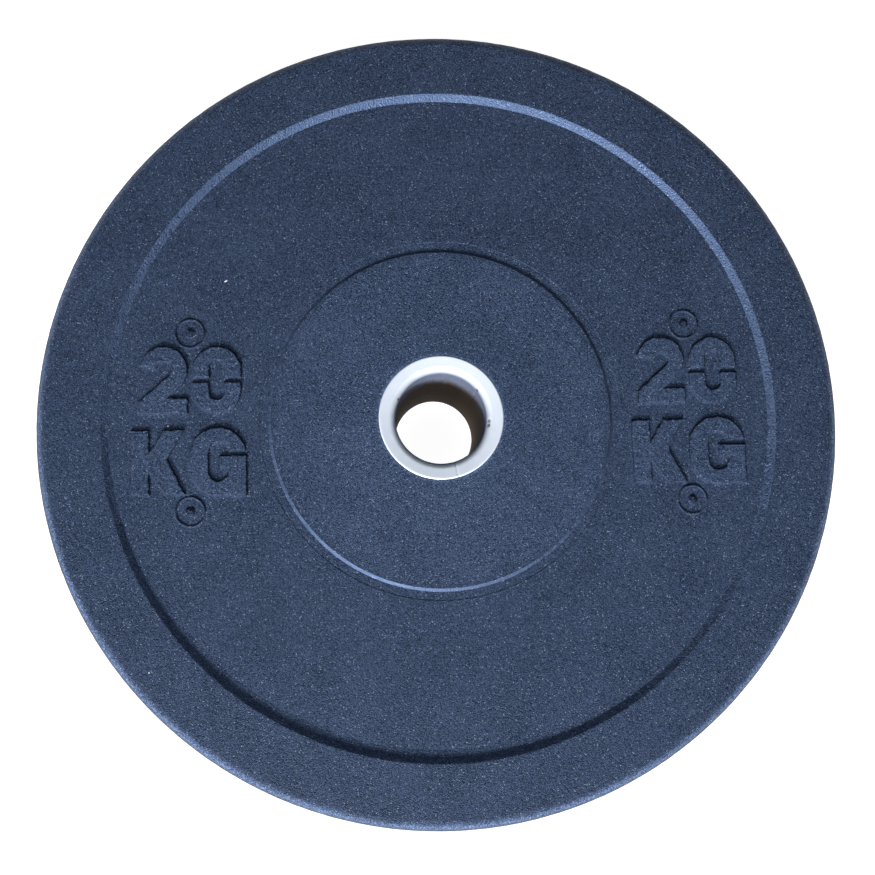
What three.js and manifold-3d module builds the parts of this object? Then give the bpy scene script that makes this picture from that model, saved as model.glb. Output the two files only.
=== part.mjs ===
// A crumb rubber bumper plate for a 50 mm barbell sleeve, lying flat. Millimetres, +Z up along the bore.
// The origin is on the bore's axis, at the level of the lower rim face that the plate rests on.
// Both faces are moulded alike, so each outline is drawn for one face, by its height above the middle
// plane, and mirrored for the other.

import * as THREE from 'three';
import { mergeVertices } from 'three/addons/utils/BufferGeometryUtils.js';
import Module from 'manifold-3d';

const wasm = await Module();
wasm.setup();

// Whole plate
const outerRadius = 225;
const thickness = 95;

// Rubber relief, the same on both faces
const rimWidth = 37.4;
const rimStepWidth = 3;
const reliefDepth = 2.9;
const edgeRadius = 9.7;
const edgeCreaseAngle = THREE.MathUtils.degToRad(15);
const bossRadius = 93.8;
const bossStepWidth = 2.5;

// Steel insert: two flanged sleeves
const boreRadius = 25.5;
const sleeveWall = 3;
const flangeWidth = 9.3;
const flangeEdgeRadius = 0.8;
const flangeDishAngle = THREE.MathUtils.degToRad(5);
const lipRadius = 5;
const ringProud = 0.4;
const collarWidth = 3.5;
const collarLength = 6;
const spigotReach = 8;

// Anchor plate
const anchorRadius = 62;
const anchorThickness = 4;
const anchorHoleRadius = 7;
const anchorHoleCount = 8;

// Clearances between neighbours, and how far a joined piece runs into the one that it joins
const mouldGap = 0.2;
const spigotGap = 0.2;
const pillarOverrun = 1;

// Facets
const bodySegments = 96;
const insertSegments = 48;
const holeSegments = 16;
const edgeSteps = 5;
const lipSteps = 6;
const filletSteps = 3;
const roundSteps = 2;
const weldDistance = 1e-4;

// Levels above the middle plane
const faceLevel = thickness / 2;
const floorLevel = faceLevel - reliefDepth;
const bossLevel = faceLevel - ringProud;
const anchorHalf = anchorThickness / 2;
const collarStart = anchorHalf + mouldGap;
const collarEnd = collarStart + collarLength;

// Radii of the insert
const tubeRadius = boreRadius + sleeveWall;
const collarRadius = tubeRadius + collarWidth;
const flangeRadius = boreRadius + flangeWidth;
const spigotRadius = boreRadius + (sleeveWall - spigotGap) / 2;
const socketRadius = spigotRadius + spigotGap;
const anchorHoleCircle = (collarRadius + anchorRadius) / 2;

// The flange is the tube's wall rolled outwards about this centre. It is slightly dished, so its outer
// edge is its highest place and stands level with the rim.
const bendRadius = Math.max(lipRadius, sleeveWall + flangeEdgeRadius);
const bendX = boreRadius + bendRadius;
const landX = flangeRadius - flangeEdgeRadius;
const lipStartX = bendX - bendRadius * Math.sin(flangeDishAngle);
const lipStartLevel = faceLevel - (landX - lipStartX) * Math.tan(flangeDishAngle);
const bendLevel = lipStartLevel - bendRadius * Math.cos(flangeDishAngle);

function point(x, y) {
  return new THREE.Vector2(x, y);
}

// Points of an arc whose angle is measured from the upward direction, positive away from the axis.
function arc(centreX, centreY, radius, from, to, steps) {
  const points = [];
  for (let i = 0; i <= steps; i += 1) {
    const angle = THREE.MathUtils.lerp(from, to, i / steps);
    points.push(point(centreX + radius * Math.sin(angle), centreY + radius * Math.cos(angle)));
  }
  return points;
}

// Level of the rolled flange's underside, lowered by a gap, at a distance from the axis.
function undersideLevel(x, gap) {
  const bend = bendRadius - sleeveWall - gap;
  const bendEndX = bendX - bend * Math.sin(flangeDishAngle);
  const bendEndLevel = bendLevel + bend * Math.cos(flangeDishAngle);
  return bendEndLevel + (x - bendEndX) * Math.tan(flangeDishAngle);
}

// From the tube's outer wall round the inside of the bend.
function bendUnderside(gap) {
  const bend = bendRadius - sleeveWall - gap;
  return arc(bendX, bendLevel, bend, -Math.PI / 2, -flangeDishAngle, filletSteps);
}

// One sleeve's outline above its collar, from the collar out over the flange and down the bore.
function flangeOutline() {
  return [
    point(tubeRadius, collarEnd),
    ...bendUnderside(0),
    point(flangeRadius, undersideLevel(flangeRadius, 0)),
    ...arc(landX, faceLevel - flangeEdgeRadius, flangeEdgeRadius, Math.PI / 2, 0, roundSteps),
    ...arc(bendX, bendLevel, bendRadius, -flangeDishAngle, -Math.PI / 2, lipSteps),
  ];
}

// The front sleeve's spigot runs through the anchor plate into the rear sleeve's socket.
function frontSleeveOutline() {
  return [
    point(boreRadius, -spigotReach),
    point(spigotRadius, -spigotReach),
    point(spigotRadius, collarStart),
    point(collarRadius, collarStart),
    point(collarRadius, collarEnd),
    ...flangeOutline(),
  ];
}

// Drawn flange up, and turned over when it is placed.
function rearSleeveOutline() {
  const socketFloor = spigotReach + spigotGap;
  return [
    point(boreRadius, socketFloor),
    point(socketRadius, socketFloor),
    point(socketRadius, -anchorHalf),
    point(tubeRadius, -anchorHalf),
    point(tubeRadius, collarStart),
    point(collarRadius, collarStart),
    point(collarRadius, collarEnd),
    ...flangeOutline(),
  ];
}

// One face of the rubber, from the anchor plate's slot in along the insert, then out over the relief.
function rubberFaceOutline() {
  const slotRadius = anchorRadius + mouldGap;
  const collarSeat = collarRadius + mouldGap;
  const flangeSeat = flangeRadius + mouldGap;
  const stepRadius = outerRadius - rimWidth;
  const edgeX = outerRadius - edgeRadius;
  const edgeLevel = faceLevel - edgeRadius * Math.cos(edgeCreaseAngle);
  return [
    point(slotRadius, collarStart),
    point(collarSeat, collarStart),
    point(collarSeat, collarEnd + mouldGap),
    point(tubeRadius + mouldGap, collarEnd + mouldGap),
    ...bendUnderside(mouldGap),
    point(flangeSeat, undersideLevel(flangeSeat, mouldGap)),
    point(flangeSeat, bossLevel),
    point(bossRadius, bossLevel),
    point(bossRadius + bossStepWidth, floorLevel),
    point(stepRadius - rimStepWidth, floorLevel),
    point(stepRadius, faceLevel),
    ...arc(edgeX, edgeLevel, edgeRadius, edgeCreaseAngle, Math.PI / 2, edgeSteps),
  ];
}

// Turns a closed outline about the Z axis.
function revolve(outline, segments) {
  const geometry = new THREE.LatheGeometry([...outline, outline[0]], segments);
  return geometry.rotateX(Math.PI / 2);
}

function toSolid(geometry) {
  const bare = geometry.clone();
  bare.deleteAttribute('normal');
  bare.deleteAttribute('uv');
  const merged = mergeVertices(bare, weldDistance);
  const mesh = new wasm.Mesh({
    numProp: 3,
    vertProperties: merged.attributes.position.array,
    triVerts: merged.index.array,
  });
  return new wasm.Manifold(mesh);
}

function toGeometry(solid) {
  const mesh = solid.getMesh();
  const geometry = new THREE.BufferGeometry();
  geometry.setAttribute('position', new THREE.BufferAttribute(mesh.vertProperties, 3));
  geometry.setIndex(new THREE.BufferAttribute(mesh.triVerts, 1));
  geometry.computeVertexNormals();
  return geometry;
}

// One upright cylinder for each hole of the anchor plate, centred on the middle plane.
function holeCylinders(radius, length) {
  const cylinders = [];
  for (let i = 0; i < anchorHoleCount; i += 1) {
    const angle = (2 * Math.PI * i) / anchorHoleCount;
    const cylinder = new THREE.CylinderGeometry(radius, radius, length, holeSegments);
    cylinder.rotateX(Math.PI / 2);
    cylinder.translate(anchorHoleCircle, 0, 0);
    cylinder.rotateZ(angle);
    cylinders.push(toSolid(cylinder));
  }
  return cylinders;
}

// The disc of bonded crumb, with a pillar through each hole of the anchor plate.
function rubberBody() {
  const upper = rubberFaceOutline();
  const lower = upper.map((p) => point(p.x, -p.y));
  const disc = toSolid(revolve([...lower, ...upper.reverse()], bodySegments));
  const slotHeight = anchorThickness + 2 * mouldGap;
  const pillars = holeCylinders(anchorHoleRadius - mouldGap, slotHeight + 2 * pillarOverrun);
  return toGeometry(pillars.reduce((joined, pillar) => joined.add(pillar), disc));
}

function anchorPlate() {
  const innerRadius = tubeRadius + mouldGap;
  const outline = [
    point(innerRadius, -anchorHalf),
    point(anchorRadius, -anchorHalf),
    point(anchorRadius, anchorHalf),
    point(innerRadius, anchorHalf),
  ];
  const disc = toSolid(revolve(outline, insertSegments));
  const cutters = holeCylinders(anchorHoleRadius, anchorThickness + 2 * pillarOverrun);
  return toGeometry(cutters.reduce((cut, cutter) => cut.subtract(cutter), disc));
}

const rubber = new THREE.MeshStandardMaterial({ color: 0x39465c, roughness: 0.85, metalness: 0 });
const ringSteel = new THREE.MeshStandardMaterial({ color: 0xd9dfe8, roughness: 0.35, metalness: 1 });
const plateSteel = new THREE.MeshStandardMaterial({ color: 0x6e7174, roughness: 0.6, metalness: 1 });

function named(name, geometry, material) {
  const mesh = new THREE.Mesh(geometry, material.clone());
  mesh.name = name;
  return mesh;
}

const insert = new THREE.Group();
insert.add(named('sleeve_front', revolve(frontSleeveOutline(), insertSegments), ringSteel));

const rearSleeve = named('sleeve_rear', revolve(rearSleeveOutline(), insertSegments), ringSteel);
rearSleeve.rotation.x = Math.PI;
insert.add(rearSleeve);
insert.add(named('anchor_plate', anchorPlate(), plateSteel));

const bumperPlate = new THREE.Group();
bumperPlate.add(named('rubber_body', rubberBody(), rubber));
bumperPlate.add(insert);
bumperPlate.position.z = faceLevel;

export default bumperPlate;
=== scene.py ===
"""Looks of a crumb rubber bumper plate, lying flat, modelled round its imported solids.

Metres. +Z runs up along the bore, and the plate lies on its lower rim face at zero height.
Both faces are moulded alike, so each outline is drawn for the front face, by its height above the
face's rim, and turned over for the rear one.
"""

import math

import bmesh
import bpy
from mathutils import Matrix, Vector, noise


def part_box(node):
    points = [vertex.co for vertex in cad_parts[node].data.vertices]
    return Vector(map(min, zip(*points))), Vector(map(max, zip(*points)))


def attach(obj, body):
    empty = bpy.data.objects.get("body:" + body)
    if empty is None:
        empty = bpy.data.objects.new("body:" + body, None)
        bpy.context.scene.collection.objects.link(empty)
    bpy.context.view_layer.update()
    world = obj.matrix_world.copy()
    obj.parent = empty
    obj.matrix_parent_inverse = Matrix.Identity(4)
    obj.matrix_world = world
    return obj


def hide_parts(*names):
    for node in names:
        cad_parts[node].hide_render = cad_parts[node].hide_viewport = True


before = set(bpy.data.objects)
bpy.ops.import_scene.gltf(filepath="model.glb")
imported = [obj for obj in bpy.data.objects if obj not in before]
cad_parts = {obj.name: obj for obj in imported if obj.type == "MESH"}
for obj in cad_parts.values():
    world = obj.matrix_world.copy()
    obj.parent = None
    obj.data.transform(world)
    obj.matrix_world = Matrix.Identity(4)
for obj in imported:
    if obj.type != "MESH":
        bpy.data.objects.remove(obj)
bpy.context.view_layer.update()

MM = 0.001

# What the solids give
body_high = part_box("rubber_body")[1]
sleeve_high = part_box("sleeve_front")[1]
THICKNESS = body_high.z
OUTER_RADIUS = body_high.x
FLANGE_RADIUS = sleeve_high.x
MIDDLE = THICKNESS / 2

# Rubber relief
RIM_WIDTH = 37.4 * MM
RIM_STEP_WIDTH = 3.4 * MM
RELIEF_DEPTH = 2.9 * MM
EDGE_RADIUS = 8.7 * MM
EDGE_CREASE_ANGLE = math.radians(5)
BOSS_RADIUS = 94.5 * MM
BOSS_STEP_WIDTH = 1.5 * MM
BOSS_ROUND = 0.3 * MM
RING_PROUD = 0.4 * MM
BOSS_FALL = 1.4 * MM
BOSS_FALL_RADIUS = 62.0 * MM
STEP_ROUND = 1.3 * MM
FOOT_ROUND = 0.35 * MM
SEAT_ROUND = 0.3 * MM

# Lines left by the mould's insert plates
INNER_LINE_RADIUS = 100.7 * MM
INNER_LINE_DEPTH = 0.26 * MM
OUTER_LINE_RADIUS = 181.0 * MM
OUTER_LINE_DEPTH = 0.08 * MM
LINE_WIDTH = 0.6 * MM
PARTING_PROUD = 0.15 * MM
PARTING_WIDTH = 1.2 * MM

# Steel insert
BORE_RADIUS = 25.5 * MM
SLEEVE_WALL = 3.0 * MM
FLANGE_EDGE_RADIUS = 0.8 * MM
FLANGE_DISH_ANGLE = math.radians(7.5)
LIP_RADIUS = 4.2 * MM
COLLAR_RADIUS = 32.0 * MM
COLLAR_START = 2.2 * MM
COLLAR_END = 8.2 * MM
SPIGOT_REACH = 8.0 * MM
SPIGOT_RADIUS = 26.9 * MM
SPIGOT_GAP = 0.2 * MM
ANCHOR_RADIUS = 62.0 * MM
ANCHOR_HALF = 2.0 * MM
MOULD_GAP = 0.2 * MM
SEAT_GAP = 0.03 * MM

# The butt seam of the rolled ring, and the nicks in the lips. Both sleeves are drawn on the front face's
# side, and the rear one is turned over afterwards with its nick
SEAM_ANGLE = math.radians(-75.3)
SEAM_DIRECTION = Vector((math.cos(SEAM_ANGLE), math.sin(SEAM_ANGLE)))
SEAM_WIDTH = 0.30 * MM
SEAM_START = 27.5 * MM
SEAM_END = 32.5 * MM
SEAM_DIP = 0.22 * MM
NICK_SIZE = 1.0 * MM
NICK_DIP = 0.6 * MM
FRONT_NICKS = [
    Vector((20.5, 15.2, 91.0)) * MM,
    Vector((26.4, -2.4, 93.2)) * MM,
    Vector((26.1, -4.6, 93.1)) * MM,
]
REAR_NICKS = [
    Vector((-24.0, 11.0, 92.0)) * MM,
]

# Marks in the floor of each face
MARK_CENTRE_X = 139.0 * MM
MARK_CENTRE_Y = 0.8 * MM
SCREW_MARK_OFFSET = 49.8 * MM
LETTER_RISE = 1.6 * MM
LETTER_WALL = 0.9 * MM
LETTER_SKIRT = 2.2 * MM
LETTER_SWELL = 0.2 * MM
LETTER_SUNK = 0.6 * MM
LETTER_RAGGED = [(0.5 * MM, 3.5 * MM), (0.3 * MM, 1.2 * MM)]
LETTER_UNEVEN_SHARE = 0.12
LETTER_UNEVEN_SIZE = 2.0 * MM
LETTER_CELL_MM = 0.4
LETTER_MARGIN_MM = 3.0
RIDGE_UNEVEN_SHARE = 0.8
RIDGE_UNEVEN_SIZE = 4.0 * MM
STUB_UNEVEN = 0.55 * MM
STUB_UNEVEN_SIZE = 1.2 * MM

# Outlines of a screw mark's ridge and stub: radius and height in millimetres
SCREW_RIDGE = [
    (6.9, -0.5),
    (6.9, 0),
    (7.3, 0.1),
    (7.7, 0.6),
    (8.1, 0.65),
    (8.4, 0.5),
    (8.7, 0.1),
    (9.1, 0),
    (9.1, -0.5),
]
SCREW_STUB = [
    (0.01, -0.5),
    (2.9, -0.5),
    (2.8, 0.1),
    (2.4, 0.6),
    (1.8, 0.95),
    (1.1, 1.1),
    (0.01, 1.05),
]

# White crumbs on the front face: place, length and width in millimetres, turn in degrees, and level
PALE_CRUMB_HEIGHT = 0.5 * MM
PALE_CRUMBS = [
    ((-118.8, 80.4), (2.0, 0.9), 25, -RELIEF_DEPTH),
    ((-151.2, -1.2), (0.9, 0.7), 0, -RELIEF_DEPTH),
    ((-160.5, -134.8), (1.3, 0.8), 70, -0.15 * MM),
]

# Smooth noise that makes the surfaces uneven: amount, and size of its features
RUBBER_UNEVEN = (0.12 * MM, 3.0 * MM)
STEEL_UNEVEN = (0.03 * MM, 6.0 * MM)
PALE_CRUMB_UNEVEN = (0.12 * MM, 0.4 * MM)

# Facets and smoothing
BODY_SEGMENTS = 432
SLEEVE_SEGMENTS = 400
RIDGE_SEGMENTS = 64
STUB_SEGMENTS = 24
FLAT_STEP = 8.0 * MM
RUN_END = 0.5 * MM
ROUND_STEPS = 4
EDGE_STEPS = 10
BEND_STEPS = 6
FLANGE_EDGE_STEPS = 6
LIP_STEPS = 16
SHARP_ANGLE = math.radians(40)

# A face whose normal has less upright share than this belongs to a step's wall
SLOPE_LIMIT = 0.94

# Levels below the rim face
FLOOR_LEVEL = -RELIEF_DEPTH
SEAT_LEVEL = -RING_PROUD
BOSS_LEVEL = SEAT_LEVEL - BOSS_FALL


def arc(centre, radius, start, end, steps):
    """Points of an arc, from one angle in degrees to another, counted from the first axis."""
    points = []
    for i in range(steps + 1):
        angle = math.radians(start + (end - start) * i / steps)
        points.append((centre[0] + radius * math.cos(angle), centre[1] + radius * math.sin(angle)))
    return points


def rounded(corners):
    """An open outline from (x, y, round) corners, each with an arc that touches both its sides."""
    points = [corners[0][:2]]
    for before, corner, after in zip(corners, corners[1:], corners[2:]):
        here = Vector(corner[:2])
        if corner[2] == 0:
            points.append(tuple(here))
            continue
        back = (Vector(before[:2]) - here).normalized()
        ahead = (Vector(after[:2]) - here).normalized()
        half = back.angle(ahead) / 2
        centre = here + (back + ahead).normalized() * corner[2] / math.sin(half)
        first = here + back * corner[2] / math.tan(half) - centre
        turn = first.angle_signed(here + ahead * corner[2] / math.tan(half) - centre)
        for i in range(ROUND_STEPS + 1):
            spoke = first.copy()
            spoke.rotate(Matrix.Rotation(-turn * i / ROUND_STEPS, 2))
            points.append(tuple(centre + spoke))
    points.append(corners[-1][:2])
    return points


def divided(points):
    """Adds points to long runs: one close to each end, so that shading stays flat, and even steps."""
    result = [points[0]]
    for start, end in zip(points, points[1:]):
        start, end = Vector(start), Vector(end)
        length = (end - start).length
        if length > 4 * RUN_END:
            between = length - 2 * RUN_END
            count = max(1, round(between / FLAT_STEP))
            for i in range(count + 1):
                share = (RUN_END + between * i / count) / length
                result.append(tuple(start.lerp(end, share)))
        result.append(tuple(end))
    return result


def revolved(outline, segments):
    """A closed body turned about the Z axis from an outline of (radius, height) points."""
    body = bmesh.new()
    rings = []
    for i in range(segments):
        angle = 2 * math.pi * i / segments
        ring = [body.verts.new((r * math.cos(angle), r * math.sin(angle), z)) for r, z in outline]
        rings.append(ring)
    count = len(outline)
    for i in range(segments):
        here, there = rings[i], rings[(i + 1) % segments]
        for j in range(count):
            k = (j + 1) % count
            body.faces.new((here[j], there[j], there[k], here[k]))
    return body


def finished(name, body, material, replaces=()):
    """Makes a riding, smooth shaded piece from a bmesh in the row frame."""
    bmesh.ops.recalc_face_normals(body, faces=body.faces)
    mesh = bpy.data.meshes.new(name)
    body.to_mesh(mesh)
    body.free()
    mesh.shade_smooth()
    mesh.set_sharp_from_angle(angle=SHARP_ANGLE)
    mesh.materials.append(material)
    piece = bpy.data.objects.new(name, mesh)
    bpy.context.scene.collection.objects.link(piece)
    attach(piece, "root")
    if replaces:
        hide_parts(*replaces)
    return piece


# Rubber body


def rubber_face():
    """One face of the rubber, from the anchor plate's slot along the insert, then out over the relief."""
    bend_x = BORE_RADIUS + LIP_RADIUS
    lip_level = -(FLANGE_RADIUS - FLANGE_EDGE_RADIUS - bend_x) * math.tan(FLANGE_DISH_ANGLE)
    under = lip_level - SLEEVE_WALL - MOULD_GAP
    tube = BORE_RADIUS + SLEEVE_WALL + MOULD_GAP
    collar = COLLAR_RADIUS + MOULD_GAP
    slot_top = COLLAR_START - MIDDLE
    collar_top = COLLAR_END + MOULD_GAP - MIDDLE
    seat = FLANGE_RADIUS + SEAT_GAP
    step_top = OUTER_RADIUS - RIM_WIDTH
    step_foot = step_top - RIM_STEP_WIDTH
    inner_floor = FLOOR_LEVEL - INNER_LINE_DEPTH
    outer_floor = FLOOR_LEVEL + OUTER_LINE_DEPTH
    wall_radius = OUTER_RADIUS - PARTING_PROUD
    edge_x = wall_radius - EDGE_RADIUS
    edge_z = -EDGE_RADIUS * math.cos(EDGE_CREASE_ANGLE)
    crease = edge_x + EDGE_RADIUS * math.sin(EDGE_CREASE_ANGLE)
    inside = [
        (ANCHOR_RADIUS + MOULD_GAP, -MIDDLE),
        (ANCHOR_RADIUS + MOULD_GAP, slot_top),
        (collar, slot_top),
        (collar, collar_top),
        (tube, collar_top),
        (tube, under - LIP_RADIUS + SLEEVE_WALL),
        (bend_x, under),
    ]
    relief = rounded([
        (seat, under, 0),
        (seat, SEAT_LEVEL, SEAT_ROUND),
        (BOSS_FALL_RADIUS, BOSS_LEVEL, 0),
        (BOSS_RADIUS, BOSS_LEVEL, BOSS_ROUND),
        (BOSS_RADIUS + BOSS_STEP_WIDTH + INNER_LINE_DEPTH, inner_floor, FOOT_ROUND),
        (INNER_LINE_RADIUS, inner_floor, FOOT_ROUND / 2),
        (INNER_LINE_RADIUS + LINE_WIDTH, FLOOR_LEVEL, FOOT_ROUND / 2),
        (OUTER_LINE_RADIUS, FLOOR_LEVEL, FOOT_ROUND / 2),
        (OUTER_LINE_RADIUS + LINE_WIDTH, outer_floor, FOOT_ROUND / 2),
        (step_foot, outer_floor, FOOT_ROUND),
        (step_top, 0, STEP_ROUND),
        (crease, 0, 0),
    ])
    edge = arc((edge_x, edge_z), EDGE_RADIUS, 90 - math.degrees(EDGE_CREASE_ANGLE), 0, EDGE_STEPS)
    parting = [
        (wall_radius, PARTING_WIDTH - MIDDLE),
        (OUTER_RADIUS, PARTING_WIDTH / 4 - MIDDLE),
        (OUTER_RADIUS, -MIDDLE),
    ]
    return divided(inside + relief + edge[1:] + parting)


def both_faces(outline):
    """Closes a front face's outline with its mirror image, and lifts both to the row frame."""
    front = [(r, z + THICKNESS) for r, z in outline]
    rear = [(r, -z) for r, z in outline[1:-1]]
    return front + rear[::-1]


def roughened(body, amount, size):
    """Moves each vertex by smooth noise, as neither crumb rubber nor rolled steel comes out quite even."""
    body.normal_update()
    for vertex in body.verts:
        vertex.co += vertex.normal * amount * noise.noise(vertex.co / size)


def on_slope(face):
    """Whether a face belongs to the sloping wall of the rim's or the boss's step."""
    radius = face.calc_center_median().xy.length
    boss = BOSS_RADIUS - BOSS_ROUND < radius < INNER_LINE_RADIUS
    rim = OUTER_LINE_RADIUS + LINE_WIDTH < radius < OUTER_RADIUS - RIM_WIDTH + STEP_ROUND
    return (boss or rim) and abs(face.normal.z) < SLOPE_LIMIT


def rubber_body(material, skin_material):
    """The moulded disc, kept inside the solid's box, with the skin's material on the steps' walls."""
    body = revolved(both_faces(rubber_face()), BODY_SEGMENTS)
    body.normal_update()
    for face in body.faces:
        face.material_index = int(on_slope(face))
    roughened(body, *RUBBER_UNEVEN)
    for vertex in body.verts:
        vertex.co.xy *= min(1, OUTER_RADIUS / vertex.co.xy.length)
        vertex.co.z = min(max(vertex.co.z, 0), THICKNESS)
    plate = finished("rubber_plate", body, material, replaces=["rubber_body"])
    plate.data.materials.append(skin_material)


# Steel sleeves


def flange_outline():
    """The rolled flange, from the tube's outer wall round over its dished land and down into the bore."""
    bend_x = BORE_RADIUS + LIP_RADIUS
    land_x = FLANGE_RADIUS - FLANGE_EDGE_RADIUS
    dish = math.degrees(FLANGE_DISH_ANGLE)
    lip_x = bend_x - LIP_RADIUS * math.sin(FLANGE_DISH_ANGLE)
    lip_z = -(land_x - lip_x) * math.tan(FLANGE_DISH_ANGLE)
    bend_z = lip_z - LIP_RADIUS * math.cos(FLANGE_DISH_ANGLE)
    under_radius = LIP_RADIUS - SLEEVE_WALL
    under = arc((bend_x, bend_z), under_radius, 180, 90 + dish, BEND_STEPS)
    under_end = under[-1][1] + (FLANGE_RADIUS - under[-1][0]) * math.tan(FLANGE_DISH_ANGLE)
    return [
        *under,
        (FLANGE_RADIUS, under_end),
        *arc((land_x, -FLANGE_EDGE_RADIUS), FLANGE_EDGE_RADIUS, 0, 90, FLANGE_EDGE_STEPS),
        *arc((bend_x, bend_z), LIP_RADIUS, 90 + dish, 180, LIP_STEPS),
    ]


def sleeve_outline(front):
    """One sleeve by height above its face's rim: the front one ends in a spigot, the rear in a socket."""
    tube = BORE_RADIUS + SLEEVE_WALL
    collar_low = COLLAR_START - MIDDLE
    collar_high = COLLAR_END - MIDDLE
    socket_radius = SPIGOT_RADIUS + SPIGOT_GAP
    socket_floor = SPIGOT_REACH + SPIGOT_GAP - MIDDLE
    if front:
        joint = [
            (BORE_RADIUS, -SPIGOT_REACH - MIDDLE),
            (SPIGOT_RADIUS, -SPIGOT_REACH - MIDDLE),
            (SPIGOT_RADIUS, collar_low),
        ]
    else:
        joint = [
            (BORE_RADIUS, socket_floor),
            (socket_radius, socket_floor),
            (socket_radius, -ANCHOR_HALF - MIDDLE),
            (tube, -ANCHOR_HALF - MIDDLE),
            (tube, collar_low),
        ]
    collar = [
        (COLLAR_RADIUS, collar_low),
        (COLLAR_RADIUS, collar_high),
        (tube, collar_high),
    ]
    return divided(joint + collar + flange_outline())


def seam_depth(point):
    """How far the rolled ring's butt seam dips the steel at a point, up to one."""
    across = abs(Vector((point.x, point.y)).angle_signed(SEAM_DIRECTION)) * BORE_RADIUS
    return math.exp(-(across / SEAM_WIDTH) ** 2)


def nick_depth(point, nick):
    """How far a nick dips the steel at a point, up to one."""
    away = (point - nick).length / NICK_SIZE
    return math.exp(-away * away)


def sleeve(name, front, nicks, material):
    """One flanged sleeve, turned a little unevenly, with its seam and nicks."""
    body = revolved(sleeve_outline(front), SLEEVE_SEGMENTS)
    bmesh.ops.translate(body, vec=(0, 0, THICKNESS), verts=body.verts)
    roughened(body, *STEEL_UNEVEN)
    for vertex in body.verts:
        dip = SEAM_DIP * seam_depth(vertex.co)
        dip += sum(NICK_DIP * nick_depth(vertex.co, nick) for nick in nicks)
        vertex.co -= vertex.normal * dip
        vertex.co.z = min(vertex.co.z, THICKNESS)
    if not front:
        turn_over(body)
    finished("steel_" + name, body, material, replaces=[name])


def turn_over(body):
    """Turns a front piece about the X axis to the rear face."""
    turn = Matrix.Rotation(math.pi, 4, "X")
    bmesh.ops.transform(body, matrix=Matrix.Translation((0, 0, THICKNESS)) @ turn, verts=body.verts)


# Raised weight marks, as outlines in millimetres from a glyph's foot on its centre line


def glyph_two():
    """A flat foot, and a bowl that hooks round over it."""
    bowl = (0, 24.6)
    return [[
        (-13.2, 0),
        (13.2, 0),
        (13.2, 8.6),
        (1.5, 8.6),
        *arc(bowl, 13.2, -38, 168, 20),
        *arc(bowl, 4.4, 168, -38, 12),
        (-13.2, 7.2),
    ]]


def glyph_zero():
    """A round-ended ring, parted across its middle by a stencil's bridge."""
    half_bridge = 1.3
    outer_centre = (0, 5.6)
    counter = 4.2
    inner_centre = (0, 7.0)
    upper = [
        *arc(outer_centre, 13.3, 0, 180, 22),
        (-13.3, half_bridge),
        (-counter, half_bridge),
        *arc(inner_centre, counter, 180, 0, 10),
        (counter, half_bridge),
        (13.3, half_bridge),
    ]
    middle = 18.9
    return [
        [(x, middle + y) for x, y in upper],
        [(-x, middle - y) for x, y in upper],
    ]


def glyph_k():
    """A stem with a straight arm and a straight leg."""
    return [[
        (-14.8, 0),
        (-4.8, 0),
        (-4.8, 11.8),
        (3.6, 0),
        (14.8, 0),
        (5.0, 19.4),
        (14.4, 35.5),
        (3.2, 35.5),
        (-4.8, 23.2),
        (-4.8, 35.5),
        (-14.8, 35.5),
    ]]


def glyph_g():
    """A round bowl, open to the right, with a square corner under its bar."""
    return [[
        *arc((0, 22.3), 15.6, 10, 180, 20),
        *arc((0, 15.6), 15.6, 180, 270, 12),
        (15.6, 0),
        (15.6, 22.2),
        (0.8, 22.2),
        (0.8, 15.2),
        (5.8, 15.2),
        *arc((0.3, 13.5), 5.5, 0, -180, 10),
        *arc((0.3, 24.0), 5.5, 180, 6, 10),
    ]]


GLYPHS = {"two": glyph_two, "zero": glyph_zero, "k": glyph_k, "g": glyph_g}

# The centre of each glyph's foot from the middle of its group, in millimetres
GLYPH_FEET = {"two": (-14.4, 4.7), "zero": (15.0, 4.2), "k": (-17.5, -40.0), "g": (15.4, -41.4)}


def outline_distance(x, y, polygons):
    """Distance from a place to the nearest outline, negative outside the shapes."""
    nearest = math.inf
    inside = False
    for polygon in polygons:
        for (ax, ay), (bx, by) in zip(polygon, polygon[1:] + polygon[:1]):
            run, climb = bx - ax, by - ay
            share = ((x - ax) * run + (y - ay) * climb) / (run * run + climb * climb)
            share = min(max(share, 0), 1)
            nearest = min(nearest, math.hypot(ax + share * run - x, ay + share * climb - y))
            if (ay > y) != (by > y) and x < ax + (y - ay) * run / climb:
                inside = not inside
    return nearest if inside else -nearest


def distance_grid(polygons):
    """A glyph's outline distances, in metres, by the column and row of a square grid."""
    corners = [corner for polygon in polygons for corner in polygon]
    spans = []
    for axis in (0, 1):
        low = min(corner[axis] for corner in corners) - LETTER_MARGIN_MM
        high = max(corner[axis] for corner in corners) + LETTER_MARGIN_MM
        spans.append(range(math.floor(low / LETTER_CELL_MM), math.ceil(high / LETTER_CELL_MM) + 1))
    grid = {}
    for i in spans[0]:
        for j in spans[1]:
            x, y = i * LETTER_CELL_MM, j * LETTER_CELL_MM
            grid[i, j] = outline_distance(x, y, polygons) * MM
    return grid


def letter_height(distance):
    """A mark's height at a distance inside its outline: a soft foot, then a wall with a round edge."""
    if distance < -LETTER_SKIRT:
        return -LETTER_SUNK
    foot = LETTER_SWELL * min(1, 1 + distance / LETTER_SKIRT) ** 2
    share = min(max(distance / LETTER_WALL + 0.5, 0), 1)
    return foot + (LETTER_RISE - LETTER_SWELL) * share * share * (3 - 2 * share)


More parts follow.
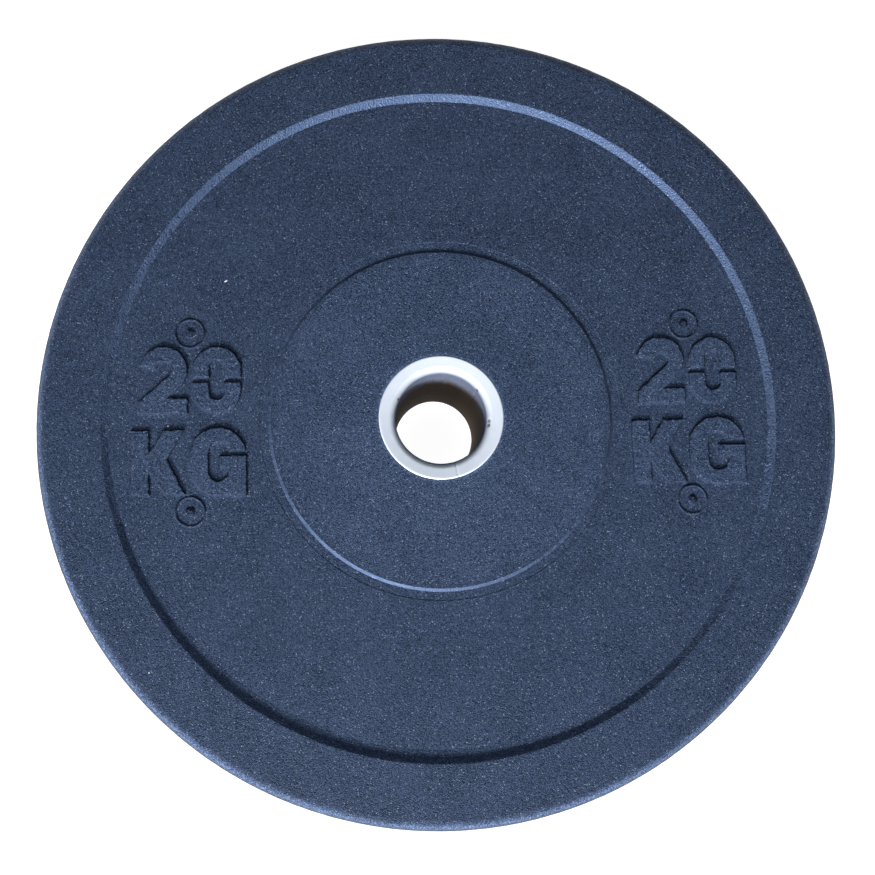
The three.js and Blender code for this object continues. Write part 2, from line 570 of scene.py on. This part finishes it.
def weight_mark(grid, centre, base):
    """A raised glyph over a grid of places, with the uneven outline that crumb leaves."""
    body = bmesh.new()
    cell = LETTER_CELL_MM * MM
    points = {}
    for (i, j), distance in grid.items():
        if distance < -LETTER_MARGIN_MM * MM:
            continue
        place = Vector((centre[0] + i * cell, centre[1] + j * cell, 0))
        ragged = sum(amount * noise.noise(place / size) for amount, size in LETTER_RAGGED)
        height = letter_height(distance + ragged)
        if height > 0:
            height *= 1 + LETTER_UNEVEN_SHARE * noise.noise(place / LETTER_UNEVEN_SIZE)
        points[i, j] = body.verts.new((place.x, place.y, base + height))
    for i, j in points:
        corners = [points.get(key) for key in ((i, j), (i + 1, j), (i + 1, j + 1), (i, j + 1))]
        if None not in corners:
            body.faces.new(corners)
    loose = [vertex for vertex in body.verts if not vertex.link_faces]
    bmesh.ops.delete(body, geom=loose, context="VERTS")
    border = [edge for edge in body.edges if edge.is_boundary]
    bmesh.ops.holes_fill(body, edges=border)
    return body


def screw_mark(centre, base):
    """What a screw head in the mould leaves: a thin ridge in a circle, and a rough stub in its middle."""
    middle = Vector((*centre, 0))
    body = revolved([(r * MM, z * MM) for r, z in SCREW_RIDGE], RIDGE_SEGMENTS)
    lump = revolved([(r * MM, z * MM) for r, z in SCREW_STUB], STUB_SEGMENTS)
    for part in (body, lump):
        part.normal_update()
    for vertex in lump.verts:
        if vertex.co.z > 0:
            uneven = noise.noise((vertex.co + middle) / STUB_UNEVEN_SIZE)
            vertex.co += vertex.normal * STUB_UNEVEN * uneven
    for vertex in body.verts:
        if vertex.co.z > 0:
            uneven = noise.noise((vertex.co + middle) / RIDGE_UNEVEN_SIZE)
            vertex.co.z *= 1 + RIDGE_UNEVEN_SHARE * uneven
    mesh = bpy.data.meshes.new("lump")
    lump.to_mesh(mesh)
    lump.free()
    body.from_mesh(mesh)
    bpy.data.meshes.remove(mesh)
    bmesh.ops.translate(body, vec=(centre[0], centre[1], base), verts=body.verts)
    return body


def pale_crumbs(material):
    """The few white crumbs that stand out of the front face."""
    body = bmesh.new()
    for (x, y), (length, width), turn, level in PALE_CRUMBS:
        lump = bmesh.ops.create_icosphere(body, subdivisions=2, radius=0.5)["verts"]
        shape = Matrix.Diagonal((length * MM, width * MM, PALE_CRUMB_HEIGHT, 1))
        shape = Matrix.Rotation(math.radians(turn), 4, "Z") @ shape
        shape = Matrix.Translation((x * MM, y * MM, THICKNESS + level)) @ shape
        bmesh.ops.transform(body, matrix=shape, verts=lump)
    roughened(body, *PALE_CRUMB_UNEVEN)
    for vertex in body.verts:
        vertex.co.z = min(vertex.co.z, THICKNESS)
    finished("pale_crumbs", body, material)


def face_marks(material):
    """The weight marks and screw marks on both sides of both faces."""
    base = THICKNESS + FLOOR_LEVEL
    grids = {word: distance_grid(glyph()) for word, glyph in GLYPHS.items()}
    for face in ("front", "rear"):
        for side, sign in (("left", -1), ("right", 1)):
            middle = (sign * MARK_CENTRE_X, MARK_CENTRE_Y)
            pieces = {}
            for word, (x, y) in GLYPH_FEET.items():
                centre = (middle[0] + x * MM, middle[1] + y * MM)
                pieces["mark_" + word] = weight_mark(grids[word], centre, base)
            for end, shift in (("upper", SCREW_MARK_OFFSET), ("lower", -SCREW_MARK_OFFSET)):
                pieces["screw_mark_" + end] = screw_mark((middle[0], middle[1] + shift), base)
            for name, body in pieces.items():
                if face == "rear":
                    turn_over(body)
                finished(f"{name}_{side}_{face}", body, material)


# Materials

# Bonded crumb: matt on the flats, and with a glossier skin on the sloping walls of the steps
GRAIN_SIZE = 0.9 * MM
FINE_GRAIN_SIZE = 0.5 * MM
PATCH_SIZE = 30 * MM
PATCH_WEIGHT = 0.3
TONE_RANGE = (0.15, 1.15)
ROUGHNESS_TONE_RANGE = (0.2, 1.1)
WAVE_SIZE = 9 * MM
WAVE_DEPTH = 0.08 * MM
CRUMB_DARK = (0.004, 0.008, 0.018)
CRUMB_LIGHT = (0.050, 0.073, 0.130)
CRUMB_SHEEN = (0.38, 0.56, 1.0, 1)
SPECK_AND_GLINT_COLOUR = (0.26, 0.31, 0.41, 1)
SPECK_AND_GLINT_START = 0.984
SPECK_AND_GLINT_SHARE = 0.5
FLAT_LOOK = {
    "brightness": 1.07,
    "coarse": 0.15,
    "pebble_depth": 0.105 * MM,
    "grain_depth": 0.252 * MM,
    "gloss": 0.14,
    "ior": 1.5,
    "roughness": 0.50,
    "spread": 0.05,
}
WALL_LOOK = {
    "brightness": 0.95,
    "coarse": 0.7,
    "pebble_depth": 0.26 * MM,
    "grain_depth": 0.11 * MM,
    "gloss": 0.77,
    "ior": 1.8,
    "roughness": 0.56,
    "spread": 0.20,
}

# Wear of the rubber and painted light: how much paler or darker each place is, as a share, and where it
# lies. The outer edge's pale band is partly scuffs and partly a painted highlight, and the ring's seat has
# a painted glare. The dark band of painted shade on the marks' walls has heights above the floor, from
# where it is absent to where it is full
EDGE_SCUFF_AND_HIGHLIGHT = 1.4
EDGE_START = 218.3 * MM
EDGE_FADE = 3 * MM
EDGE_END_DEPTH = 3.2 * MM
EDGE_RAGGED = 4 * MM
EDGE_RAGGED_SIZE = 2.5 * MM
SCUFF_AND_HIGHLIGHT_SIZE = 0.9 * MM
SCUFF_AND_HIGHLIGHT_TONE_RANGE = (0.40, 0.60)
SCUFF_AND_HIGHLIGHT_SHARES = (0.35, 1.65)
BOSS_PALER = 0.22
BOSS_FADE = 4 * MM
SEAT_GLARE_FADE = 2 * MM
MARK_TOP_PALER = 0.20
MARK_WALL_PAINTED_SHADE = 0.5
MARK_WALL_LOW = (0.35 * MM, 0.60 * MM)
MARK_WALL_HIGH = (1.35 * MM, 1.05 * MM)

# Steel of the ring and the bore, each look from where it is absent to where it is full: by depth under
# the front face, by height above the rear one, and along X for the side with a painted reflection, where
# the worn streaks also gather
BRIGHT_DEPTHS = (6.2 * MM, 0.5 * MM)
BROWN_DEPTHS = (18 * MM, 34 * MM)
WORN_DEPTHS = (34 * MM, 8 * MM)
REAR_BRIGHT_HEIGHTS = (4.6 * MM, 3.6 * MM)
REAR_BROWN_HEIGHTS = (4 * MM, 9 * MM)
REFLECTION_SIDE = (12 * MM, 25 * MM)

# The steel's colours, the sizes of its patches, how far its limits wander, and how strong each look is
STEEL_COLOURS = ((0.74, 0.81, 0.93, 1), (0.82, 0.88, 0.98, 1))
GREY_COLOURS = ((0.060, 0.075, 0.115, 1), (0.105, 0.125, 0.180, 1))
STAIN_COLOURS = ((0.026, 0.015, 0.008, 1), (0.080, 0.050, 0.028, 1))
PAINTED_REFLECTION_COLOUR = (0.19, 0.13, 0.085, 1)
WORN_COLOUR = (0.30, 0.24, 0.17, 1)
CHIP_COLOUR = (0.025, 0.024, 0.035, 1)
WANDER_SIZE = 9 * MM
BRIGHT_WANDER = 1 * MM
BROWN_WANDER = 16 * MM
REAR_BROWN_WANDER = 3 * MM
STEEL_PATCH_SIZE = 5 * MM
GREY_PATCH_SIZE = 2 * MM
STAIN_SIZE = 3 * MM
STREAK_SIZE = 1.6 * MM
STREAK_STRETCH = (1, 1, 0.12)
STREAK_TONE_RANGE = (0.48, 0.66)
WORN_PLACE_SIZE = 14 * MM
WORN_TONE_RANGE = (0.40, 0.52)
REFLECTION_SIDE_WORN_SHARE = 0.15
STEEL_GRAIN_SIZE = 0.6 * MM
STEEL_GRAIN_DEPTH = 0.01 * MM
CHIP_RAGGED_SIZE = 0.8 * MM
CHIP_RAGGED = 1.2 * MM
CHIP_OUTER = NICK_SIZE * 1.3
CHIP_INNER = NICK_SIZE * 0.7
PAINTED_REFLECTION_SHARE = 0.6
WORN_SHARE = 0.8
CHIP_SHARE = 0.85
SEAM_SHARE = 0.7
STEEL_METALLIC = 0.38
STEEL_ROUGHNESS = 0.38
BORE_ROUGHNESS = 0.85
STEEL_SPECULAR = 0.08

# White crumbs, and the buried anchor plate
MIDDLE_TONES = (0.3, 0.7)
PALE_COLOURS = ((0.45, 0.47, 0.50, 1), (0.80, 0.82, 0.85, 1))
PALE_PATCH_SIZE = 0.5 * MM
PALE_GRAIN_SIZE = 0.3 * MM
PALE_GRAIN_DEPTH = 0.03 * MM
PALE_ROUGHNESS = (0.5, 0.7)
ANCHOR_COLOURS = ((0.24, 0.24, 0.25, 1), (0.40, 0.40, 0.41, 1))
ANCHOR_ROUGHNESS = (0.45, 0.7)
MILL_SCALE_SIZE = 6 * MM
ROLLED_GRAIN_SIZE = 0.8 * MM
ROLLED_GRAIN_DEPTH = 0.02 * MM


class Material:
    """A node material with short calls for its nodes."""

    def __init__(self, name):
        self.data = bpy.data.materials.new(name)
        self.data.use_nodes = True
        self.nodes = self.data.node_tree.nodes
        self.links = self.data.node_tree.links
        self.shader = self.nodes["Principled BSDF"]
        self.place = self.add("TexCoord").outputs["Object"]

    def feed(self, socket, value):
        """Links a socket to another one, or sets its constant."""
        if isinstance(value, bpy.types.NodeSocket):
            self.links.new(value, socket)
        else:
            socket.default_value = value

    def add(self, kind, inputs=None, **settings):
        """A new node with its settings, and with a constant or a link for each input."""
        node = self.nodes.new("ShaderNode" + kind)
        for name, value in settings.items():
            setattr(node, name, value)
        for name, value in (inputs or {}).items():
            self.feed(node.inputs[name], value)
        return node

    def noise(self, size, detail=2.0, roughness=0.5):
        """Smooth noise whose features are about as large as size."""
        inputs = {"Vector": self.place, "Scale": 1 / size, "Detail": detail, "Roughness": roughness}
        return self.add("TexNoise", inputs).outputs["Fac"]

    def centred_noise(self, size, detail=2.0):
        """The same about zero."""
        return self.math("SUBTRACT", self.noise(size, detail), 0.5)

    def cells(self, size):
        """Grains of about one size, each with a colour of its own."""
        return self.add("TexVoronoi", {"Vector": self.place, "Scale": 1 / size})

    def math(self, operation, first, second=0.0):
        """What an operation makes of two values, each a number or a socket."""
        return self.add("Math", {0: first, 1: second}, operation=operation).outputs[0]

    def ranged(self, value, low, high, to_low=0.0, to_high=1.0):
        """A value clamped and moved from one range to another."""
        inputs = {
            "Value": value, "From Min": low, "From Max": high, "To Min": to_low, "To Max": to_high,
        }
        return self.add("MapRange", inputs).outputs["Result"]

    def mixed(self, share, first, second):
        """One colour faded into another."""
        node = self.add("Mix", data_type="RGBA")
        for name, value in (("Factor", share), ("A", first), ("B", second)):
            kind = "VALUE" if name == "Factor" else "RGBA"
            self.feed(next(s for s in node.inputs if s.name == name and s.type == kind), value)
        return next(s for s in node.outputs if s.type == "RGBA")

    def bump(self, height, depth, normal=None):
        """A normal tilted by a height, on top of another bump's normal if there is one."""
        inputs = {"Height": height, "Distance": depth, "Strength": 1.0}
        if normal is not None:
            inputs["Normal"] = normal
        return self.add("Bump", inputs).outputs["Normal"]

    def set(self, **values):
        """Sets or links the shader's inputs, whose names have an underscore for each space."""
        for name, value in values.items():
            self.feed(self.shader.inputs[name.replace("_", " ")], value)


def crumb_rubber(name, brightness, coarse, pebble_depth, grain_depth, gloss, ior, roughness, spread):
    """Bonded crumb: dark and blue-grey grains and a few pale ones, which also serve as painted glints,
    pebbled by bumps.

    Coarse is the larger grains' share in the tone, and spread is how far the roughness follows the tone.
    """
    m = Material(name)
    grains = m.cells(GRAIN_SIZE)
    fine = m.cells(FINE_GRAIN_SIZE)
    grain_tone = m.add("SeparateColor", {"Color": grains.outputs["Color"]}).outputs[0]
    fine_tone = m.add("SeparateColor", {"Color": fine.outputs["Color"]}).outputs[1]
    patches = m.noise(PATCH_SIZE, detail=3.0)
    tone = m.math("MULTIPLY", fine_tone, 1 - coarse)
    tone = m.math("ADD", tone, m.math("MULTIPLY", grain_tone, coarse))
    tone = m.math("ADD", tone, m.math("MULTIPLY", patches, PATCH_WEIGHT))
    dark = (*[channel * brightness for channel in CRUMB_DARK], 1)
    light = (*[channel * brightness for channel in CRUMB_LIGHT], 1)
    colour = m.mixed(m.ranged(tone, *TONE_RANGE), dark, light)
    colour = m.add("VectorMath", {0: colour, "Scale": wear_and_painted_light(m)}, operation="SCALE").outputs["Vector"]
    # Pale crumbs, which also stand in for painted glints on the grain
    speck_and_glint = m.math("GREATER_THAN", fine_tone, SPECK_AND_GLINT_START)
    speck_and_glint = m.math("MULTIPLY", speck_and_glint, SPECK_AND_GLINT_SHARE)
    m.set(Base_Color=m.mixed(speck_and_glint, colour, SPECK_AND_GLINT_COLOUR))
    m.set(Roughness=m.ranged(tone, *ROUGHNESS_TONE_RANGE, roughness - spread, roughness + spread))
    m.set(IOR=ior, Specular_IOR_Level=gloss, Specular_Tint=CRUMB_SHEEN)
    pebble = m.math("SUBTRACT", 1.0, grains.outputs["Distance"])
    fine_pebble = m.math("SUBTRACT", 1.0, fine.outputs["Distance"])
    normal = m.bump(m.noise(WAVE_SIZE), WAVE_DEPTH)
    normal = m.bump(pebble, pebble_depth, normal)
    normal = m.bump(fine_pebble, grain_depth, normal)
    m.set(Normal=normal)
    return m.data


def wear_and_painted_light(m):
    """How bright use and painted light leave the rubber, as a factor for its colour.

    The outer edge is scuffed and carries a painted highlight, and the ring's seat has a painted glare. The
    boss and the marks' tops are a little paler than the rest, and the marks' walls have painted shade.
    """
    flat = m.add("VectorMath", {0: m.place, 1: (1, 1, 0)}, operation="MULTIPLY").outputs["Vector"]
    radius = m.add("VectorMath", {0: flat}, operation="LENGTH").outputs["Value"]
    height = m.add("SeparateXYZ", {"Vector": m.place}).outputs["Z"]
    away = m.math("ABSOLUTE", m.math("SUBTRACT", height, MIDDLE))

    # The outer edge's pale band: partly scuffs, partly a painted highlight of its grazing reflection
    scuffs_and_highlight = m.ranged(m.noise(SCUFF_AND_HIGHLIGHT_SIZE), *SCUFF_AND_HIGHLIGHT_TONE_RANGE, *SCUFF_AND_HIGHLIGHT_SHARES)
    ragged = m.math("MULTIPLY", m.centred_noise(EDGE_RAGGED_SIZE, detail=3.0), EDGE_RAGGED)
    edge = m.ranged(m.math("ADD", radius, ragged), EDGE_START, EDGE_START + EDGE_FADE)
    edge_low = MIDDLE - EDGE_END_DEPTH
    edge_high = MIDDLE - EDGE_END_DEPTH / 2
    edge = m.math("MULTIPLY", edge, m.ranged(away, edge_low, edge_high))
    edge = m.math("MULTIPLY", edge, scuffs_and_highlight)

    boss = m.ranged(radius, BOSS_RADIUS, BOSS_RADIUS - BOSS_FADE)
    # Painted glare from the bright steel ring: the rubber is paler next to it
    seat = m.ranged(radius, FLANGE_RADIUS + SEAT_GLARE_FADE, FLANGE_RADIUS)

    foot = MIDDLE + FLOOR_LEVEL
    on_floor = m.ranged(radius, INNER_LINE_RADIUS, INNER_LINE_RADIUS + LINE_WIDTH)
    inside_rim = m.ranged(radius, OUTER_LINE_RADIUS + LINE_WIDTH, OUTER_LINE_RADIUS)
    top = m.ranged(away, foot + LETTER_RISE / 2, foot + LETTER_RISE)
    top = m.math("MULTIPLY", top, on_floor)
    top = m.math("MULTIPLY", top, inside_rim)
    # Painted shade on the marks' walls, between two heights above the floor
    mark_wall_shade = m.ranged(away, *[foot + level for level in MARK_WALL_LOW])
    wall_top = m.ranged(away, *[foot + level for level in MARK_WALL_HIGH])
    mark_wall_shade = m.math("MULTIPLY", mark_wall_shade, wall_top)
    mark_wall_shade = m.math("MULTIPLY", mark_wall_shade, on_floor)
    mark_wall_shade = m.math("MULTIPLY", mark_wall_shade, inside_rim)

    paler = m.math("MULTIPLY", edge, EDGE_SCUFF_AND_HIGHLIGHT)
    paler = m.math("ADD", paler, m.math("MULTIPLY", boss, BOSS_PALER))
    paler = m.math("ADD", paler, seat)
    paler = m.math("ADD", paler, m.math("MULTIPLY", top, MARK_TOP_PALER))
    paler = m.math("SUBTRACT", paler, m.math("MULTIPLY", mark_wall_shade, MARK_WALL_PAINTED_SHADE))
    return m.math("ADD", paler, 1.0)


def pale_rubber():
    """Crumbs of white rubber."""
    m = Material("pale_rubber")
    m.set(Base_Color=m.mixed(m.noise(PALE_PATCH_SIZE), *PALE_COLOURS))
    m.set(Roughness=m.ranged(m.noise(PALE_GRAIN_SIZE), *MIDDLE_TONES, *PALE_ROUGHNESS))
    m.set(Normal=m.bump(m.noise(PALE_GRAIN_SIZE), PALE_GRAIN_DEPTH))
    return m.data


def wandering(m, value, wander, amount):
    """A value that strays by a share of an amount, so that the limits drawn from it are uneven."""
    return m.math("ADD", value, m.math("MULTIPLY", wander, amount))


def sleeve_steel():
    """Satin turned steel round the lip, grey below it in the bore, and brown and dull further in.

    Each limit between them wanders by a length of its own. The worn places are streaks along the bore.
    """
    m = Material("sleeve_steel")
    place = m.add("SeparateXYZ", {"Vector": m.place}).outputs
    height = place["Z"]
    front_depth = m.math("SUBTRACT", THICKNESS, height)
    wander = m.centred_noise(WANDER_SIZE, detail=3.0)
    bright = m.ranged(wandering(m, front_depth, wander, BRIGHT_WANDER), *BRIGHT_DEPTHS)
    bright = m.math("MULTIPLY", bright, bright)
    bright = m.math("MAXIMUM", bright, m.ranged(height, *REAR_BRIGHT_HEIGHTS))
    brown = m.ranged(wandering(m, front_depth, wander, BROWN_WANDER), *BROWN_DEPTHS)
    rear_brown = m.ranged(wandering(m, height, wander, REAR_BROWN_WANDER), *REAR_BROWN_HEIGHTS)
    brown = m.math("MINIMUM", brown, rear_brown)
    drawn = m.add("VectorMath", {0: m.place, 1: STREAK_STRETCH}, operation="MULTIPLY").outputs["Vector"]
    streaks = m.add("TexNoise", {"Vector": drawn, "Scale": 1 / STREAK_SIZE, "Detail": 3.0}).outputs["Fac"]
    # The side towards +X, which has a painted reflection and gathers the worn streaks
    reflection_side = m.ranged(place["X"], *REFLECTION_SIDE)
    worn_places = m.math("MULTIPLY", reflection_side, REFLECTION_SIDE_WORN_SHARE)
    worn_places = m.math("ADD", m.noise(WORN_PLACE_SIZE), worn_places)
    worn = m.ranged(front_depth, *WORN_DEPTHS)
    worn = m.math("MULTIPLY", m.ranged(streaks, *STREAK_TONE_RANGE), worn)
    worn = m.math("MULTIPLY", worn, m.ranged(worn_places, *WORN_TONE_RANGE))
    steel = m.mixed(m.noise(STEEL_PATCH_SIZE, detail=4.0), *STEEL_COLOURS)
    grey = m.mixed(m.noise(GREY_PATCH_SIZE, detail=4.0), *GREY_COLOURS)
    stain = m.mixed(m.noise(STAIN_SIZE, detail=4.0, roughness=0.7), *STAIN_COLOURS)
    # A painted reflection: the deep bore is paler on the side towards +X
    stain = m.mixed(m.math("MULTIPLY", reflection_side, PAINTED_REFLECTION_SHARE), stain, PAINTED_REFLECTION_COLOUR)
    stain = m.mixed(m.math("MULTIPLY", worn, WORN_SHARE), stain, WORN_COLOUR)
    colour = m.mixed(bright, m.mixed(brown, grey, stain), steel)
    dark = m.math("MULTIPLY", chips(m), CHIP_SHARE)
    m.set(Base_Color=m.mixed(dark, colour, CHIP_COLOUR))
    m.set(Metallic=m.math("MULTIPLY", m.math("SUBTRACT", bright, dark), STEEL_METALLIC))
    m.set(Roughness=m.ranged(bright, 0.0, 1.0, BORE_ROUGHNESS, STEEL_ROUGHNESS))
    m.set(Specular_IOR_Level=STEEL_SPECULAR)
    m.set(Normal=m.bump(m.noise(STEEL_GRAIN_SIZE, detail=3.0), STEEL_GRAIN_DEPTH))
    return m.data


def chips(m):
    """Where the front lip's nicks and its butt seam are dark, up to one.

    The rear lip's nick is taken where it was drawn, so its dark spot lies on the front lip too.
    """
    ragged = m.math("MULTIPLY", m.centred_noise(CHIP_RAGGED_SIZE), CHIP_RAGGED)
    share = None
    for nick in FRONT_NICKS + REAR_NICKS:
        away = m.add("VectorMath", {0: m.place, 1: nick}, operation="DISTANCE").outputs["Value"]
        spot = m.ranged(m.math("ADD", away, ragged), CHIP_OUTER, CHIP_INNER)
        share = spot if share is None else m.math("MAXIMUM", share, spot)
    across = Vector((-SEAM_DIRECTION.y, SEAM_DIRECTION.x, 0))
    beside = m.add("VectorMath", {0: m.place, 1: across}, operation="DOT_PRODUCT").outputs["Value"]
    along = Vector((*SEAM_DIRECTION, 0))
    ahead = m.add("VectorMath", {0: m.place, 1: along}, operation="DOT_PRODUCT").outputs["Value"]
    seam = m.ranged(m.math("ABSOLUTE", beside), SEAM_WIDTH, SEAM_WIDTH / 3)
    seam = m.math("MULTIPLY", seam, m.ranged(ahead, SEAM_END, SEAM_START))
    seam = m.math("MULTIPLY", seam, m.math("GREATER_THAN", ahead, 0.0))
    return m.math("MAXIMUM", share, m.math("MULTIPLY", seam, SEAM_SHARE))


def anchor_steel():
    """Mild steel plate as rolled, with patches of mill scale."""
    m = Material("anchor_steel")
    scale_marks = m.noise(MILL_SCALE_SIZE, detail=5.0, roughness=0.65)
    m.set(Base_Color=m.mixed(scale_marks, *ANCHOR_COLOURS))
    m.set(Roughness=m.ranged(scale_marks, *MIDDLE_TONES, *ANCHOR_ROUGHNESS))
    m.set(Normal=m.bump(m.noise(ROLLED_GRAIN_SIZE, detail=3.0), ROLLED_GRAIN_DEPTH))
    m.set(Metallic=1.0)
    return m.data


def pale_floor():
    """A matt white ground."""
    m = Material("pale_floor")
    m.set(Base_Color=FLOOR_COLOUR, Roughness=FLOOR_ROUGHNESS)
    m.set(Emission_Color=(1, 1, 1, 1), Emission_Strength=FLOOR_GLOW)
    return m.data


# Stage, light and camera

# The photograph: 875 pixels square, taken almost straight down with a wide lens, cropped off centre
PHOTO_PIXELS = 875
FOCAL_PIXELS = 782.0
AXIS_PIXEL_X = 413.8
AXIS_PIXEL_Y = 481.9
SENSOR_MM = 36.0
CAMERA_MM = Vector((-27.83, -71.06, 428.53))
TARGET_MM = Vector((-16.23, -35.70, 0))
LETTER_TILT = math.radians(1.5)

KEY_AZIMUTH = math.radians(250)
KEY_ELEVATION = math.radians(24.5)
KEY_DISTANCE = 5.0
KEY_SIZE = (1.0, 1.0)
KEY_POWER = 515.0
SOFTBOX_PLACE = Vector((-0.20, -1.17, 1.38))
SOFTBOX_SIZE = (1.5, 1.2)
SOFTBOX_POWER = 23.0
KEY_COLOUR = (1.0, 0.98, 0.96)
SOFTBOX_COLOUR = (0.92, 0.96, 1.0)
WORLD_COLOUR = (0.78, 0.88, 1.0, 1)
WORLD_STRENGTH = 0.09

# The floor glows, so that it is as white as the photograph's cut-out ground
FLOOR_REACH = 60.0
FLOOR_CELLS = 8
FLOOR_COLOUR = (0.40, 0.40, 0.40, 1)
FLOOR_ROUGHNESS = 0.9
FLOOR_GLOW = 0.96


def camera():
    """The photograph's camera, solved from the plate's circles. Its up side is a little off the marks'."""
    lens = bpy.data.cameras.new("camera")
    lens.sensor_width = SENSOR_MM
    lens.lens = FOCAL_PIXELS / PHOTO_PIXELS * SENSOR_MM
    lens.shift_x = (PHOTO_PIXELS / 2 - AXIS_PIXEL_X) / PHOTO_PIXELS
    lens.shift_y = (AXIS_PIXEL_Y - PHOTO_PIXELS / 2) / PHOTO_PIXELS
    lens.clip_start = 0.01
    view = bpy.data.objects.new("camera", lens)
    bpy.context.scene.collection.objects.link(view)
    up = Matrix.Rotation(-LETTER_TILT, 3, "Z") @ Vector((0, 1, 0))
    back = (CAMERA_MM - TARGET_MM).normalized()
    right = up.cross(back).normalized()
    basis = Matrix((right, back.cross(right), back)).transposed().to_4x4()
    basis.translation = CAMERA_MM * MM + Vector((0, 0, THICKNESS))
    view.matrix_world = basis
    bpy.context.scene.camera = view


def area_light(name, place, aim, size, power, colour):
    """A rectangular light at a place, turned to what it aims at."""
    light = bpy.data.lights.new(name, "AREA")
    light.shape = "RECTANGLE"
    light.size, light.size_y = size
    light.energy = power
    light.color = colour
    lamp = bpy.data.objects.new(name, light)
    bpy.context.scene.collection.objects.link(lamp)
    lamp.location = place
    lamp.rotation_euler = (aim - place).to_track_quat("-Z", "Y").to_euler()


def lights():
    """A low key light that grazes the relief, a broad softer one above it, and a dim even sky."""
    face_centre = Vector((0, 0, THICKNESS))
    level = math.cos(KEY_ELEVATION) * KEY_DISTANCE
    key_place = Vector((
        level * math.cos(KEY_AZIMUTH),
        level * math.sin(KEY_AZIMUTH),
        math.sin(KEY_ELEVATION) * KEY_DISTANCE + THICKNESS,
    ))
    area_light("key", key_place, face_centre, KEY_SIZE, KEY_POWER, KEY_COLOUR)
    area_light("softbox", SOFTBOX_PLACE, face_centre, SOFTBOX_SIZE, SOFTBOX_POWER, SOFTBOX_COLOUR)
    world = bpy.data.worlds.new("studio")
    world.use_nodes = True
    sky = world.node_tree.nodes["Background"]
    sky.inputs["Color"].default_value = WORLD_COLOUR
    sky.inputs["Strength"].default_value = WORLD_STRENGTH
    bpy.context.scene.world = world
    bpy.context.scene.view_settings.view_transform = "Standard"


def floor():
    """The ground that the plate lies on, which is not part of it."""
    body = bmesh.new()
    bmesh.ops.create_grid(body, x_segments=FLOOR_CELLS, y_segments=FLOOR_CELLS, size=FLOOR_REACH)
    mesh = bpy.data.meshes.new("floor")
    body.to_mesh(mesh)
    body.free()
    mesh.materials.append(pale_floor())
    ground = bpy.data.objects.new("floor", mesh)
    bpy.context.scene.collection.objects.link(ground)


rubber = crumb_rubber("crumb_rubber", **FLAT_LOOK)
skin_rubber = crumb_rubber("crumb_rubber_skin", **WALL_LOOK)
steel = sleeve_steel()
rubber_body(rubber, skin_rubber)
pale_crumbs(pale_rubber())
face_marks(rubber)
sleeve("sleeve_front", True, FRONT_NICKS, steel)
sleeve("sleeve_rear", False, REAR_NICKS, steel)
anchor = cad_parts["anchor_plate"]
anchor.data.materials.clear()
anchor.data.materials.append(anchor_steel())
floor()
lights()
camera()
